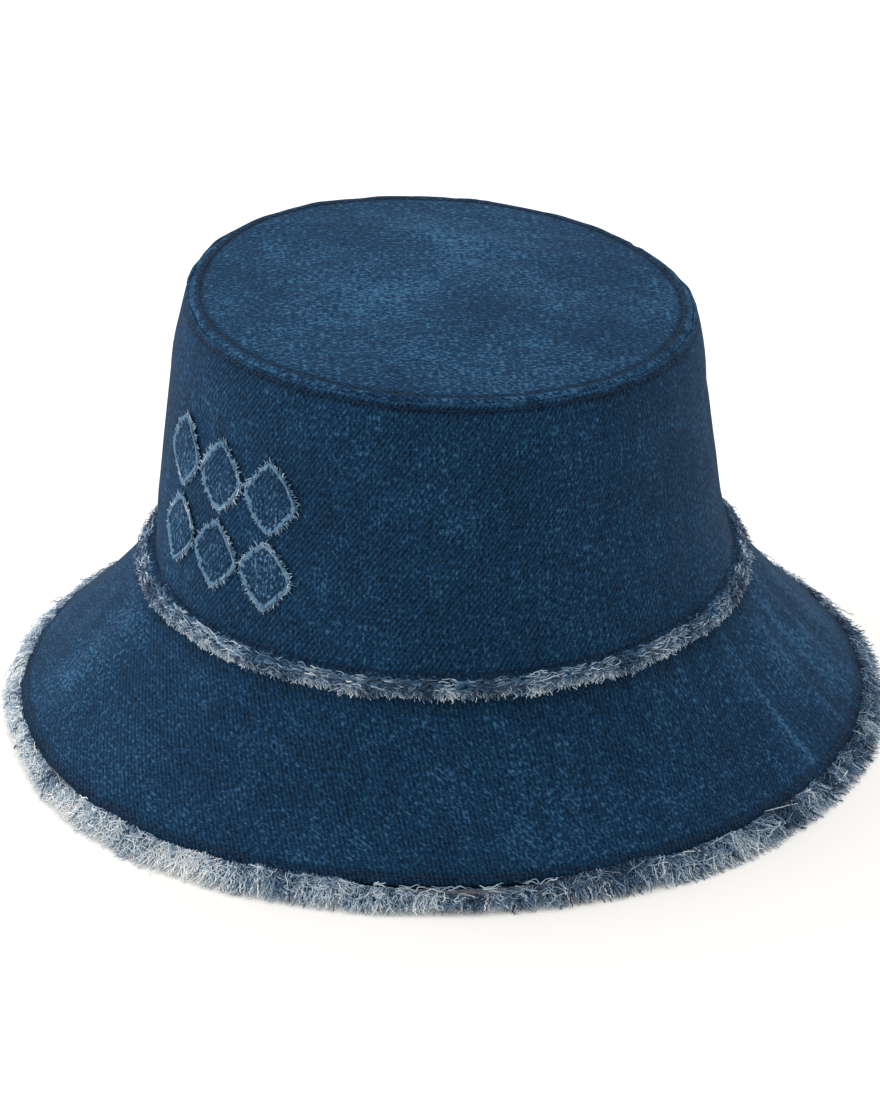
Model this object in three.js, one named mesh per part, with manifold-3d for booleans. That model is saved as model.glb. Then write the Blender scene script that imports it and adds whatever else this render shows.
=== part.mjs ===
// A denim bucket hat with frayed raw edges: domed tip, side band, flared brim, lining and sweatband.
// Millimetres, +Z up, front towards -Y. The origin is on the floor, under the middle of the hat.
import * as THREE from 'three';
import { mergeVertices } from 'three/addons/utils/BufferGeometryUtils.js';
import Module from 'manifold-3d';

const wasm = await Module();
wasm.setup();

// Driving dimensions.
const HEAD_GIRTH = 564;          // round the inside of the sweatband
const SEAM_HEIGHT = 53.7;        // where crown and brim are sewn together
const TIP_RADIUS = 79.2;         // seam between tip and side band
const TIP_HEIGHT = 140.6;
const DOME_RISE = 5.5;           // the tip's middle above its seam
const SHOULDER_HEIGHT = 114;     // the side band starts to round over here
const SHOULDER_POWER = 1.5;      // 2 is an elliptical shoulder, 1 a straight bevel
const BAND_TAPER = 0.117;        // radius lost per millimetre of height
const BASE_FLARE = 1.7;          // extra radius right at the base seam
const FLARE_LENGTH = 5;
const BRIM_RADIUS = 135;         // edge of the woven cloth, without its fringe
const BRIM_EDGE_HEIGHT = 6;
const BRIM_SAG = 1.6;            // how far the brim hollows below a straight cone
const FRINGE_RADIUS = 142.6;     // tips of the brim's fringe
const CROWN_TILT = 4.2;          // the tip is this much higher on one side, and lower on the other
const TILT_AZIMUTH = -33.5;      // degrees from the front towards +X
const TILT_START = 95;           // below this height the crown isn't tilted
const CROWN_SHIFT = 1.5;         // the crown stands this far to the same side of the brim's middle
const SHIFT_END = 75;            // from here up the crown has its whole shift
const BRIM_PULL = 3;             // the brim has been pulled this far out of round at the front
const PULL_AZIMUTH = 2;
const PULL_SPREAD = 34;          // degrees to each side
const PULL_START = 5;            // the pull grows from this far outside the seam to the cloth's edge

// Cloth thicknesses, and the gaps that keep the layers apart.
const DENIM = 1;
const LINING = 0.6;
const INTERLINING = 0.6;
const SWEATBAND = 1.2;
const LABEL = 0.4;
const THREAD = 0.5;
const GAP = 0.3;
const SEAM_GAP = 0.4;            // between the two edges that meet in a seam
const SWEATBAND_HEIGHT = 30;
const FRAY_LENGTH = 4.8;         // the raw seam allowances that stand out at the base seam
const FRAY = 0.8;
const SLICES = 36;               // facets round the hat, the same in every layer
const FACET_SAG = 0.4;           // how far a flat facet lies inside the true circle

// Raw-edge patches on the front, in two rows.
const PATCH_WIDTH = 20.5;
const PATCH_HEIGHT = 22;
const PATCH_COLUMNS = 3;
const PATCH_ROWS = 2;
const PATCH_PITCH_X = 22;
const PATCH_PITCH_Z = 25;
const PATCH_MIDDLE = 91;         // height of the group's middle

const HEAD_RADIUS = HEAD_GIRTH / (2 * Math.PI);
const SEAM_RADIUS = HEAD_RADIUS + SWEATBAND + LINING + DENIM + 2 * GAP;
const radians = THREE.MathUtils.degToRad;

const INDIGO = 0x1f456b;
const PALE_THREAD = 0xa9bccb;
const NAVY_THREAD = 0x14283f;
const COTTON = 0x22364d;
const FUSIBLE = 0xd9d6cd;
const BLANK_LABEL = 0xe4e1d8;

const group = new THREE.Group();

// ---- outlines, as radius and height -----------------------------------------------------------

// Outer radius of the side band at a height: a tapered wall, flared at its foot and rounded at its top.
function bandRadius(z) {
  const rise = Math.min(z, SHOULDER_HEIGHT) - SEAM_HEIGHT;
  const straight = SEAM_RADIUS - BASE_FLARE - BAND_TAPER * rise;
  const flare = BASE_FLARE * Math.exp(-(z - SEAM_HEIGHT) / FLARE_LENGTH);
  if (z <= SHOULDER_HEIGHT) {
    return straight + flare;
  }
  const up = Math.min(1, (z - SHOULDER_HEIGHT) / (TIP_HEIGHT - SHOULDER_HEIGHT));
  const left = (1 - up ** SHOULDER_POWER) ** (1 / SHOULDER_POWER);
  return TIP_RADIUS + (straight - TIP_RADIUS) * left;
}

function bandOutline(bottom, top) {
  const points = [];
  const straightSteps = 6;
  const roundSteps = 5;
  const wallTop = Math.min(top, SHOULDER_HEIGHT);
  for (let i = 0; i <= straightSteps; i += 1) {
    const z = bottom + (wallTop - bottom) * (i / straightSteps) ** 1.5;
    points.push(new THREE.Vector2(bandRadius(z), z));
  }
  for (let i = 1; i <= roundSteps && top > SHOULDER_HEIGHT; i += 1) {
    const z = SHOULDER_HEIGHT + (top - SHOULDER_HEIGHT) * Math.sin((i / roundSteps) * (Math.PI / 2));
    points.push(new THREE.Vector2(bandRadius(z), z));
  }
  return points;
}

// The tip's outline runs from its edge to the axis, as a shallow dome. The edge stays clear of the
// side band, whose top leans inwards, down to `depth` below the surface.
function tipOutline(depth) {
  const points = [];
  const steps = 4;
  const edge = TIP_RADIUS - SEAM_GAP - 0.8 * depth;
  for (let i = 0; i <= steps; i += 1) {
    const radius = edge * (1 - i / steps);
    points.push(new THREE.Vector2(radius, TIP_HEIGHT + DOME_RISE * (1 - (radius / TIP_RADIUS) ** 2)));
  }
  return points;
}

// The brim's upper surface, from the base seam down to the edge of the woven cloth.
const brimStart = new THREE.Vector2(SEAM_RADIUS + 0.4, SEAM_HEIGHT - 0.5);
const brimEnd = new THREE.Vector2(BRIM_RADIUS, BRIM_EDGE_HEIGHT);
const brimLength = brimStart.distanceTo(brimEnd);
const brimMiddle = brimStart.clone().lerp(brimEnd, 0.5);
const brimAcross = brimEnd.clone().sub(brimStart).normalize();
const brimNormal = new THREE.Vector2(-brimAcross.y, brimAcross.x);
const brimCurve = new THREE.QuadraticBezierCurve(
  brimStart,
  brimMiddle.addScaledVector(brimNormal, -2 * BRIM_SAG),
  brimEnd,
);

// Points run from the edge up to the seam, between two distances from the seam.
function brimOutline(near, far, steps) {
  const points = [];
  for (let i = 0; i <= steps; i += 1) {
    const distance = far + (near - far) * (i / steps);
    points.push(brimCurve.getPoint(distance / brimLength));
  }
  return points;
}

// ---- solids ------------------------------------------------------------------------------------

function signedVolume(position, index) {
  const corner = [new THREE.Vector3(), new THREE.Vector3(), new THREE.Vector3()];
  let total = 0;
  for (let i = 0; i < index.length; i += 3) {
    corner.forEach((point, k) => point.fromBufferAttribute(position, index[i + k]));
    total += corner[0].dot(corner[1].cross(corner[2])) / 6;
  }
  return total;
}

// Shared corners, no empty triangles, and faces that point outwards.
function tidy(geometry) {
  geometry.deleteAttribute('normal');
  geometry.deleteAttribute('uv');
  const merged = mergeVertices(geometry, 1e-4);
  const source = merged.getIndex().array;
  const kept = [];
  for (let i = 0; i < source.length; i += 3) {
    const [a, b, c] = [source[i], source[i + 1], source[i + 2]];
    if (a !== b && b !== c && c !== a) {
      kept.push(a, b, c);
    }
  }
  if (signedVolume(merged.getAttribute('position'), kept) < 0) {
    kept.reverse();
  }
  merged.setIndex(kept);
  return merged;
}

// A closed outline turned round the hat's axis. Angle 0 is the front.
function turned(outline) {
  const geometry = new THREE.LatheGeometry([...outline, outline[0]], SLICES);
  geometry.rotateX(Math.PI / 2);
  return tidy(geometry);
}

// The points of an outline, moved along its normal. Positive is out of the hat.
function shifted(outline, distance) {
  return outline.map((point, i) => {
    const before = outline[Math.max(0, i - 1)];
    const after = outline[Math.min(outline.length - 1, i + 1)];
    const along = after.clone().sub(before).normalize();
    return new THREE.Vector2(
      Math.max(0, point.x + along.y * distance),
      point.y - along.x * distance,
    );
  });
}

// A layer of cloth whose outer face lies `depth` inside the outline.
function layer(outline, depth, thickness) {
  const outer = shifted(outline, -depth);
  const inner = shifted(outline, -depth - thickness);
  return turned([...outer, ...inner.reverse()]);
}

function toManifold(geometry) {
  return new wasm.Manifold(new wasm.Mesh({
    numProp: 3,
    vertProperties: new Float32Array(geometry.getAttribute('position').array),
    triVerts: new Uint32Array(geometry.getIndex().array),
  }));
}

// A turned layer is one strip of cloth, whose two ends meet at the centre back.
function openAtBack(geometry) {
  const slot = tidy(new THREE.BoxGeometry(SEAM_GAP, 2 * BRIM_RADIUS, 2 * TIP_HEIGHT));
  slot.translate(0, BRIM_RADIUS, TIP_HEIGHT / 2);
  const cut = toManifold(geometry).subtract(toManifold(slot)).getMesh();
  const result = new THREE.BufferGeometry();
  result.setAttribute('position', new THREE.BufferAttribute(new Float32Array(cut.vertProperties), 3));
  result.setIndex(Array.from(cut.triVerts));
  return result;
}

// How far the brim is pulled outwards at this place.
function brimPull(place, z) {
  if (z >= SEAM_HEIGHT) return 0;
  const turn = THREE.MathUtils.radToDeg(Math.atan2(place.x, -place.y)) - PULL_AZIMUTH;
  const away = THREE.MathUtils.euclideanModulo(turn + 180, 360) - 180;
  const share = THREE.MathUtils.smoothstep(place.length(), SEAM_RADIUS + PULL_START, BRIM_RADIUS);
  return BRIM_PULL * share * Math.exp(-((away / PULL_SPREAD) ** 2));
}

// The soft crown leans: it stands a little to one side, and its top is higher on that side.
// The brim isn't quite round.
function drape(geometry) {
  const position = geometry.getAttribute('position');
  const side = new THREE.Vector2(Math.sin(radians(TILT_AZIMUTH)), -Math.cos(radians(TILT_AZIMUTH)));
  for (let i = 0; i < position.count; i += 1) {
    const place = new THREE.Vector2(position.getX(i), position.getY(i));
    const z = position.getZ(i);
    place.setLength(place.length() + brimPull(place, z));
    const lift = CROWN_TILT * THREE.MathUtils.smoothstep(z, TILT_START, TIP_HEIGHT);
    const height = z + lift * (place.dot(side) / TIP_RADIUS);
    place.addScaledVector(side, CROWN_SHIFT * THREE.MathUtils.smoothstep(z, SEAM_HEIGHT, SHIFT_END));
    position.setXYZ(i, place.x, place.y, height);
  }
  return geometry;
}

function add(name, geometry, color, roughness = 0.9) {
  const material = new THREE.MeshStandardMaterial({ color, roughness, metalness: 0 });
  const mesh = new THREE.Mesh(drape(geometry), material);
  mesh.name = name;
  group.add(mesh);
}

// Lays a flat geometry on the hat: x runs round the hat, y along an outline, and z out of it.
// `place` gives the outline's point at a distance y along it, with its outward normal.
function laidOn(geometry, azimuth, place) {
  const position = geometry.getAttribute('position');
  for (let i = 0; i < position.count; i += 1) {
    const { point, normal } = place(position.getY(i));
    const angle = radians(azimuth) + position.getX(i) / point.x;
    const radius = point.x + normal.x * position.getZ(i);
    const height = point.y + normal.y * position.getZ(i);
    position.setXYZ(i, radius * Math.sin(angle), -radius * Math.cos(angle), height);
  }
  return tidy(geometry);
}

// Places on the side band are given by their height.
function onBand(height) {
  const point = new THREE.Vector2(bandRadius(height), height);
  const step = 0.5;
  const slope = (bandRadius(height + step) - bandRadius(height - step)) / (2 * step);
  return { point, normal: new THREE.Vector2(1, -slope).normalize() };
}

// Places on the brim are given by their distance below the base seam.
function onBrim(distance) {
  const share = distance / brimLength;
  const along = brimCurve.getTangent(share);
  return { point: brimCurve.getPoint(share), normal: new THREE.Vector2(-along.y, along.x) };
}

// A round of stitching, proud of an outline by `out` at one place along it.
function stitchRing({ point, normal }, out) {
  const middle = point.clone().addScaledVector(normal, out);
  const half = THREAD / 2;
  const corners = [[-half, -half], [half, -half], [half, half], [-half, half]];
  return turned(corners.map(([r, z]) => new THREE.Vector2(middle.x + r, middle.y + z)));
}

// A straight run of stitching from one place along an outline to another.
function stitchRun(azimuth, from, to, steps, place) {
  const box = new THREE.BoxGeometry(THREAD, to - from, THREAD, 1, steps, 1);
  box.translate(0, (from + to) / 2, GAP + THREAD / 2);
  return laidOn(box, azimuth, place);
}

// ---- the crown ---------------------------------------------------------------------------------

const HEM_LIFT = 0.6;            // the band starts this far above the seam line
const bandBottom = SEAM_HEIGHT + HEM_LIFT;
const wholeBand = bandOutline(bandBottom, TIP_HEIGHT);
const liningDepth = DENIM + GAP;

add('crown_tip', layer(tipOutline(DENIM), 0, DENIM), INDIGO);
add('crown_side_band', openAtBack(layer(wholeBand, 0, DENIM)), INDIGO);
add('tip_lining', layer(tipOutline(liningDepth + LINING), liningDepth, LINING), COTTON);
const liningOutline = bandOutline(bandBottom, TIP_HEIGHT - liningDepth);
add('side_lining', openAtBack(layer(liningOutline, liningDepth, LINING)), COTTON);

const tipStitchInset = 3;
const tipStitchDrop = 1.6;
const tipStitchPlace = {
  point: new THREE.Vector2(
    TIP_RADIUS - tipStitchInset,
    TIP_HEIGHT + DOME_RISE * (1 - (1 - tipStitchInset / TIP_RADIUS) ** 2),
  ),
  normal: new THREE.Vector2(0, 1),
};
const stitchOut = GAP + THREAD / 2;
add('tip_topstitch_upper', stitchRing(tipStitchPlace, stitchOut), NAVY_THREAD);
add('tip_topstitch_lower', stitchRing(onBand(TIP_HEIGHT - tipStitchDrop), stitchOut), NAVY_THREAD);

const backStitchAngle = 2;
const backStitchTopInset = 6;
const backStitchBottomInset = 4.5;
const backStitchTop = TIP_HEIGHT - backStitchTopInset;
const backStitchBottom = bandBottom + backStitchBottomInset;
for (const [side, sign] of [['left', -1], ['right', 1]]) {
  const azimuth = 180 + sign * backStitchAngle;
  const run = stitchRun(azimuth, backStitchBottom, backStitchTop, 8, onBand);
  add(`crown_back_topstitch_${side}`, run, NAVY_THREAD);
}

// ---- inside the crown --------------------------------------------------------------------------

const sweatbandTop = bandBottom + SWEATBAND_HEIGHT;
const sweatbandDepth = liningDepth + LINING + GAP;
const sweatbandOutline = bandOutline(bandBottom, sweatbandTop);
add('sweatband', openAtBack(layer(sweatbandOutline, sweatbandDepth, SWEATBAND)), COTTON);

const sweatbandFace = sweatbandDepth + SWEATBAND;
const sweatbandStitchInset = 3;
const sweatbandStitch = onBand(bandBottom + sweatbandStitchInset);
add('sweatband_stitch', stitchRing(sweatbandStitch, -sweatbandFace - stitchOut), PALE_THREAD);

// A blank label, laid on an inner face that is `depth` inside the band's outline.
const WOVEN_LABEL = { width: 44, height: 16, azimuth: 180, above: 17 };
const CARE_LABEL = { width: 14, height: 26, azimuth: 112, above: 15 };

function label({ width, height, azimuth, above }, from, depth) {
  const box = new THREE.BoxGeometry(width, height, LABEL, 8, 3, 1);
  box.translate(0, from + above, -(depth + GAP + FACET_SAG + LABEL / 2));
  return laidOn(box, azimuth, onBand);
}

add('woven_label', label(WOVEN_LABEL, bandBottom, sweatbandFace), BLANK_LABEL);
add('care_label', label(CARE_LABEL, sweatbandTop, liningDepth + LINING), BLANK_LABEL);

// ---- the brim ----------------------------------------------------------------------------------

const brimSteps = 5;
const interliningStart = 1;
const interliningInset = 4;
const underDepth = DENIM + GAP + INTERLINING + GAP;
const plyOutline = brimOutline(0, brimLength, brimSteps);
const innerOutline = brimOutline(interliningStart, brimLength - interliningInset, brimSteps);
add('brim_top_ply', openAtBack(layer(plyOutline, 0, DENIM)), INDIGO);
add('brim_interlining', openAtBack(layer(innerOutline, DENIM + GAP, INTERLINING)), FUSIBLE);
add('brim_under_ply', openAtBack(layer(plyOutline, underDepth, DENIM)), INDIGO);

const edgeStitchInset = 2.5;
const edgeStitch = stitchRing(onBrim(brimLength - edgeStitchInset), stitchOut);
add('brim_edge_stay_stitch', edgeStitch, NAVY_THREAD);
for (const [side, sign] of [['left', -1], ['right', 1]]) {
  const azimuth = 180 + sign * backStitchAngle * (SEAM_RADIUS / BRIM_RADIUS);
  const run = stitchRun(azimuth, FRAY_LENGTH + edgeStitchInset, brimLength - interliningInset, 5, onBrim);
  add(`brim_back_topstitch_${side}`, run, NAVY_THREAD);
}

// The two raw seam allowances stand out over the brim, one on the other.
const seamStitchLift = 2.4;
const lowerFrayInset = 0.2;
add('crown_brim_seam_stitch', stitchRing(onBand(SEAM_HEIGHT + seamStitchLift), stitchOut), NAVY_THREAD);
const lowerFray = brimOutline(lowerFrayInset, FRAY_LENGTH + lowerFrayInset, 2);
const upperFray = brimOutline(0, FRAY_LENGTH, 2);
add('brim_inner_fray', layer(lowerFray, -GAP - FRAY, FRAY), PALE_THREAD);
add('crown_hem_fray', layer(upperFray, -2 * (GAP + FRAY), FRAY), PALE_THREAD);

// The fringe of each brim ply starts at its raw edge and bends out flatter, down to the floor.
const { point: edgePoint, normal: edgeNormal } = onBrim(brimLength);
const edgeAlong = new THREE.Vector2(edgeNormal.y, -edgeNormal.x);
function atEdge(along, depth) {
  return edgePoint.clone().addScaledVector(edgeAlong, along).addScaledVector(edgeNormal, -depth);
}
const topTip = { upper: 1.2, lower: 0.6, slant: 0.2 };      // heights of the upper fringe's tip
const underTip = { upper: 0.5, inset: 1.1, resting: 4.4 };  // the lower fringe rests on the floor
const underTipRadius = FRINGE_RADIUS - underTip.inset;
add('brim_edge_fray_top', turned([
  atEdge(GAP, 0),
  new THREE.Vector2(FRINGE_RADIUS, topTip.upper),
  new THREE.Vector2(FRINGE_RADIUS - topTip.slant, topTip.lower),
  atEdge(GAP, DENIM),
]), PALE_THREAD);
add('brim_edge_fray_under', turned([
  atEdge(GAP, underDepth),
  new THREE.Vector2(underTipRadius, underTip.upper),
  new THREE.Vector2(underTipRadius, 0),
  new THREE.Vector2(underTipRadius - underTip.resting, 0),
  atEdge(GAP, underDepth + DENIM),
]), PALE_THREAD);

// ---- raw-edge patches on the front -------------------------------------------------------------

// A lozenge of denim: a square plate stood on its corner, then stretched.
function patch(azimuth, middle) {
  const plate = new THREE.BoxGeometry(Math.SQRT1_2, Math.SQRT1_2, DENIM, 4, 4, 1);
  plate.rotateZ(Math.PI / 4);
  plate.scale(PATCH_WIDTH, PATCH_HEIGHT, 1);
  plate.translate(0, middle, GAP + DENIM / 2);
  return laidOn(plate, azimuth, onBand);
}

for (let row = 0; row < PATCH_ROWS; row += 1) {
  for (let column = 0; column < PATCH_COLUMNS; column += 1) {
    const middle = PATCH_MIDDLE + PATCH_PITCH_Z * ((PATCH_ROWS - 1) / 2 - row);
    const across = PATCH_PITCH_X * (column - (PATCH_COLUMNS - 1) / 2);
    const azimuth = THREE.MathUtils.radToDeg(across / bandRadius(middle));
    add(`patch_${row * PATCH_COLUMNS + column + 1}`, patch(azimuth, middle), INDIGO);
  }
}

export default group;
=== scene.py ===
"""A denim bucket hat with frayed raw edges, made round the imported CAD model.
Metres, +Z up, front towards -Y."""

import math
from functools import partialmethod

import bpy
import numpy as np
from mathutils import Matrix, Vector


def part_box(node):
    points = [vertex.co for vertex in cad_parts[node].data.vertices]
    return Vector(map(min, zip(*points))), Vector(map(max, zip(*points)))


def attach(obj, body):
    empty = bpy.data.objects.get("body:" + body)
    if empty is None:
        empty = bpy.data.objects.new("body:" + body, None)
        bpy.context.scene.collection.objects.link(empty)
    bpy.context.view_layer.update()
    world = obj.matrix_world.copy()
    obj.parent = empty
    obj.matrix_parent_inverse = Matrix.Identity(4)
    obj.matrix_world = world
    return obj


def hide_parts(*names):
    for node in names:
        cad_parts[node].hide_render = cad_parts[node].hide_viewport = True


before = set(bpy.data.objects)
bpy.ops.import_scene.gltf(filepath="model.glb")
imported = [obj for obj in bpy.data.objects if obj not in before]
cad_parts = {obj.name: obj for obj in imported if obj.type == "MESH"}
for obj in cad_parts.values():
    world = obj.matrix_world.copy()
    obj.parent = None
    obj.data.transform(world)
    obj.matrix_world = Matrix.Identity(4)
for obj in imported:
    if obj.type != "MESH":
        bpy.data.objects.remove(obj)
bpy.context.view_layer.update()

MM = 0.001
TAU = 2 * math.pi

# ---- dimensions of the design, as in the frame ----

SEAM_HEIGHT = 53.7 * MM  # where crown and brim are sewn together
SEAM_RADIUS = 93.16 * MM
TIP_RADIUS = 79.2 * MM
TIP_HEIGHT = 140.6 * MM
DOME_RISE = 5.5 * MM
SHOULDER_HEIGHT = 114 * MM
SHOULDER_POWER = 1.5
BAND_TAPER = 0.117
BASE_FLARE = 1.7 * MM
FLARE_LENGTH = 5 * MM
BRIM_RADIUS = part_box("brim_top_ply")[1].x
BRIM_EDGE_HEIGHT = 6 * MM
BRIM_SAG = 1.6 * MM
FRINGE_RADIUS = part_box("brim_edge_fray_top")[1].x
CROWN_TILT = 4.2 * MM
TILT_AZIMUTH = math.radians(-33.5)
TILT_START = 95 * MM
CROWN_SHIFT = 1.5 * MM
SHIFT_END = 75 * MM
SLUMP = 1.5 * MM  # how far the shoulder has sunk on its softest side; it stands up again further back
SLUMP_AZIMUTH = math.radians(-34)
RISE_AZIMUTH = math.radians(-92)
BRIM_PULL = 3 * MM  # the brim has been pulled out of round at the front
PULL_AZIMUTH = math.radians(2)
STREAKS_AZIMUTH = math.radians(116)  # where the brim is worn in lines from the seam to the edge

DENIM = 1 * MM
LINING = 0.6 * MM
INTERLINING = 0.6 * MM
SWEATBAND = 1.2 * MM
GAP = 0.3 * MM
BAND_BOTTOM = SEAM_HEIGHT + 0.6 * MM
SWEATBAND_HEIGHT = 30 * MM
FRAY_LENGTH = 4.8 * MM
LINING_DEPTH = DENIM + GAP
SWEATBAND_DEPTH = LINING_DEPTH + LINING + GAP
UNDER_DEPTH = DENIM + GAP + INTERLINING + GAP
BAND_MIDDLE = 88 * MM  # radius halfway up the band
BRIM_MIDDLE = 115 * MM  # radius halfway down the brim
STITCH = 2.3 * MM  # one stitch, and the gap to the next
STITCH_GAP = 0.6 * MM
STITCH_HIGH = 0.16 * MM  # how far a stitch stands out at its middle, and is sunk at its ends
STITCH_SUNK = 0.25 * MM
ROW_LIFT = 0.05 * MM

PATCH_WIDTH = 20.5 * MM
PATCH_HEIGHT = 22 * MM
PATCH_COLUMNS = 3
PATCH_ROWS = 2
PATCH_PITCH_X = 22 * MM
PATCH_PITCH_Z = 25 * MM
PATCH_MIDDLE = 91 * MM

VIEW_AZIMUTH = math.radians(51.5)  # of the camera, from the front towards +X
VIEW_ELEVATION = math.radians(26.7)
GRAIN_AZIMUTH = math.radians(-12)  # where the brim's weft lies straight down its slope


# ---- numbers ----

def smoothstep(x, low, high):
    t = np.clip((x - low) / (high - low), 0, 1)
    return t * t * (3 - 2 * t)


def bump(x, middle, width):
    """A soft hump, 1 at the middle."""
    return np.exp(-(((x - middle) / width) ** 2))


def turn(angle):
    """An angle brought between -pi and pi."""
    return (angle + math.pi) % TAU - math.pi


def at_azimuth(phi, azimuth, degrees):
    """A soft hump round the hat, 1 at this azimuth."""
    return bump(turn(phi - azimuth), 0, math.radians(degrees))


def noise(u, v, period, seed):
    """Smooth noise from -1 to 1 over cells of u and v. It repeats after `period` cells of u."""
    rows = 64
    table = np.random.default_rng(seed).uniform(-1, 1, (period, rows))
    i, j = np.floor(u).astype(int), np.floor(v).astype(int)
    fu, fv = u - i, v - j
    fu, fv = fu * fu * (3 - 2 * fu), fv * fv * (3 - 2 * fv)
    low = table[i % period, j % rows] * (1 - fu) + table[(i + 1) % period, j % rows] * fu
    high = table[i % period, (j + 1) % rows] * (1 - fu) + table[(i + 1) % period, (j + 1) % rows] * fu
    return low * (1 - fv) + high * fv


def around(phi, cells, v, seed):
    """Noise that closes round the hat, with that many cells round it."""
    return noise(phi / TAU * cells, v, cells, seed)


# ---- outlines ----

class Outline:
    """A line of radius and height, read by the distance along it, with its outward normal."""

    def __init__(self, r, z):
        self.r, self.z = r, z
        self.s = np.concatenate([[0], np.cumsum(np.hypot(np.diff(r), np.diff(z)))])
        tr, tz = np.gradient(r, self.s), np.gradient(z, self.s)
        size = np.hypot(tr, tz)
        self.nr, self.nz = tz / size, -tr / size
        self.length = self.s[-1]

    def flipped(self):
        """The same line with its normals on the other side."""
        self.nr, self.nz = -self.nr, -self.nz
        return self

    def at(self, s, out=0.0):
        r = np.interp(s, self.s, self.r) + np.interp(s, self.s, self.nr) * out
        z = np.interp(s, self.s, self.z) + np.interp(s, self.s, self.nz) * out
        return r, z

    def height(self, z):
        """The distance along the line at which it has this height."""
        return np.interp(z, self.z, self.s)


def band_radius(z):
    straight = SEAM_RADIUS - BASE_FLARE - BAND_TAPER * (np.minimum(z, SHOULDER_HEIGHT) - SEAM_HEIGHT)
    flare = BASE_FLARE * np.exp(-(z - SEAM_HEIGHT) / FLARE_LENGTH)
    up = np.clip((z - SHOULDER_HEIGHT) / (TIP_HEIGHT - SHOULDER_HEIGHT), 0, 1)
    left = (1 - up**SHOULDER_POWER) ** (1 / SHOULDER_POWER)
    return np.where(z <= SHOULDER_HEIGHT, straight + flare, TIP_RADIUS + (straight - TIP_RADIUS) * left)


def band_outline():
    wall = np.linspace(BAND_BOTTOM, SHOULDER_HEIGHT, 200, endpoint=False)
    rounded = SHOULDER_HEIGHT + (TIP_HEIGHT - SHOULDER_HEIGHT) * np.sin(np.linspace(0, math.pi / 2, 120))
    z = np.concatenate([wall, rounded])
    return Outline(band_radius(z), z)


def tip_outline():
    r = np.linspace(TIP_RADIUS - 0.15 * MM, 0, 200)
    return Outline(r, TIP_HEIGHT + DOME_RISE * (1 - (r / TIP_RADIUS) ** 2))


def bezier(points, t):
    """Points of a quadratic curve through the first and last point."""
    a, b, c = (np.array(p)[:, None] for p in points)
    return a * (1 - t) ** 2 + 2 * b * t * (1 - t) + c * t**2


def brim_outline():
    """From the base seam down to the edge of the cloth, then on over the fringe to the floor."""
    start = np.array([SEAM_RADIUS + 0.4 * MM, SEAM_HEIGHT - 0.5 * MM])
    end = np.array([BRIM_RADIUS, BRIM_EDGE_HEIGHT])
    along = (end - start) / np.linalg.norm(end - start)
    middle = (start + end) / 2 + 2 * BRIM_SAG * np.array([along[1], -along[0]])
    cloth = bezier([start, middle, end], np.linspace(0, 1, 200))
    lean = (end - middle) / np.linalg.norm(end - middle)
    tip = np.array([FRINGE_RADIUS, 0.9 * MM])
    knee = end + lean * 0.5 * np.linalg.norm(tip - end)
    fringe = bezier([end, knee, tip], np.linspace(0, 1, 60))[:, 1:]
    flat = np.array([tip[0] + np.linspace(0.2, 8, 30) * MM, tip[1] - np.linspace(0, 0.5, 30) * MM])
    r, z = np.concatenate([cloth, fringe, flat], axis=1)
    outline = Outline(r, z).flipped()
    outline.cloth = outline.s[199]
    return outline


BAND, TIP, BRIM = band_outline(), tip_outline(), brim_outline()


# ---- the hat's own soft shape ----

def drape(r, z, phi):
    """Places points given by radius, height and angle: the crown leans, and the cloth is never quite true."""
    x, y = r * np.sin(phi), -r * np.cos(phi)
    crown = smoothstep(z, SEAM_HEIGHT, SHIFT_END)
    side = (math.sin(TILT_AZIMUTH), -math.cos(TILT_AZIMUTH))
    lift = CROWN_TILT * smoothstep(z, TILT_START, TIP_HEIGHT)
    height = z + lift * (x * side[0] + y * side[1]) / TIP_RADIUS
    soft = 0.7 * MM * crown * around(phi, 7, z / (28 * MM), 11)
    soft = soft + 0.5 * MM * crown * around(phi, 13, z / (16 * MM), 12)
    soft = soft * smoothstep(r, 10 * MM, 60 * MM)
    slump = at_azimuth(phi, SLUMP_AZIMUTH, 30) - 0.3 * at_azimuth(phi, RISE_AZIMUTH, 26)
    slump = slump * smoothstep(r, 40 * MM, TIP_RADIUS)
    soft = soft - SLUMP * slump * bump(z, TIP_HEIGHT, 17 * MM)
    height = height - SLUMP * slump * smoothstep(z, 118 * MM, TIP_HEIGHT)
    x = x + soft * np.sin(phi) + CROWN_SHIFT * crown * side[0]
    y = y - soft * np.cos(phi) + CROWN_SHIFT * crown * side[1]
    brim = smoothstep(r, SEAM_RADIUS + 5 * MM, BRIM_RADIUS) * (z < SEAM_HEIGHT)
    pulled = BRIM_PULL * brim * at_azimuth(phi, PULL_AZIMUTH, 34)
    x, y = x + pulled * np.sin(phi), y - pulled * np.cos(phi)
    wave = 0.5 + 0.5 * around(phi, 9, np.zeros_like(z) + 0.5, 13)
    height = height + 1.1 * MM * brim * wave * smoothstep(z, 0, 8 * MM)
    return np.stack([x, y, height], axis=-1)


def placed(outline, s, phi, out=0.0):
    """Points at a distance along an outline, at an angle round the hat, and `out` of its surface."""
    r, z = outline.at(s, out)
    return drape(r, z, phi)


# ---- meshes ----

def part(points, quads, smooth=True, **values):
    """One lot of faces over its own points. values are numbers per point: cloth, wear with painted light and
    shade, and tone.
    """
    return {
        "points": points.reshape(-1, 3),
        "quads": np.asarray(quads, int).reshape(-1, 4),
        "tris": np.zeros((0, 3), int),
        "material": 0,
        "smooth": smooth,
        "values": values,
    }


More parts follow.
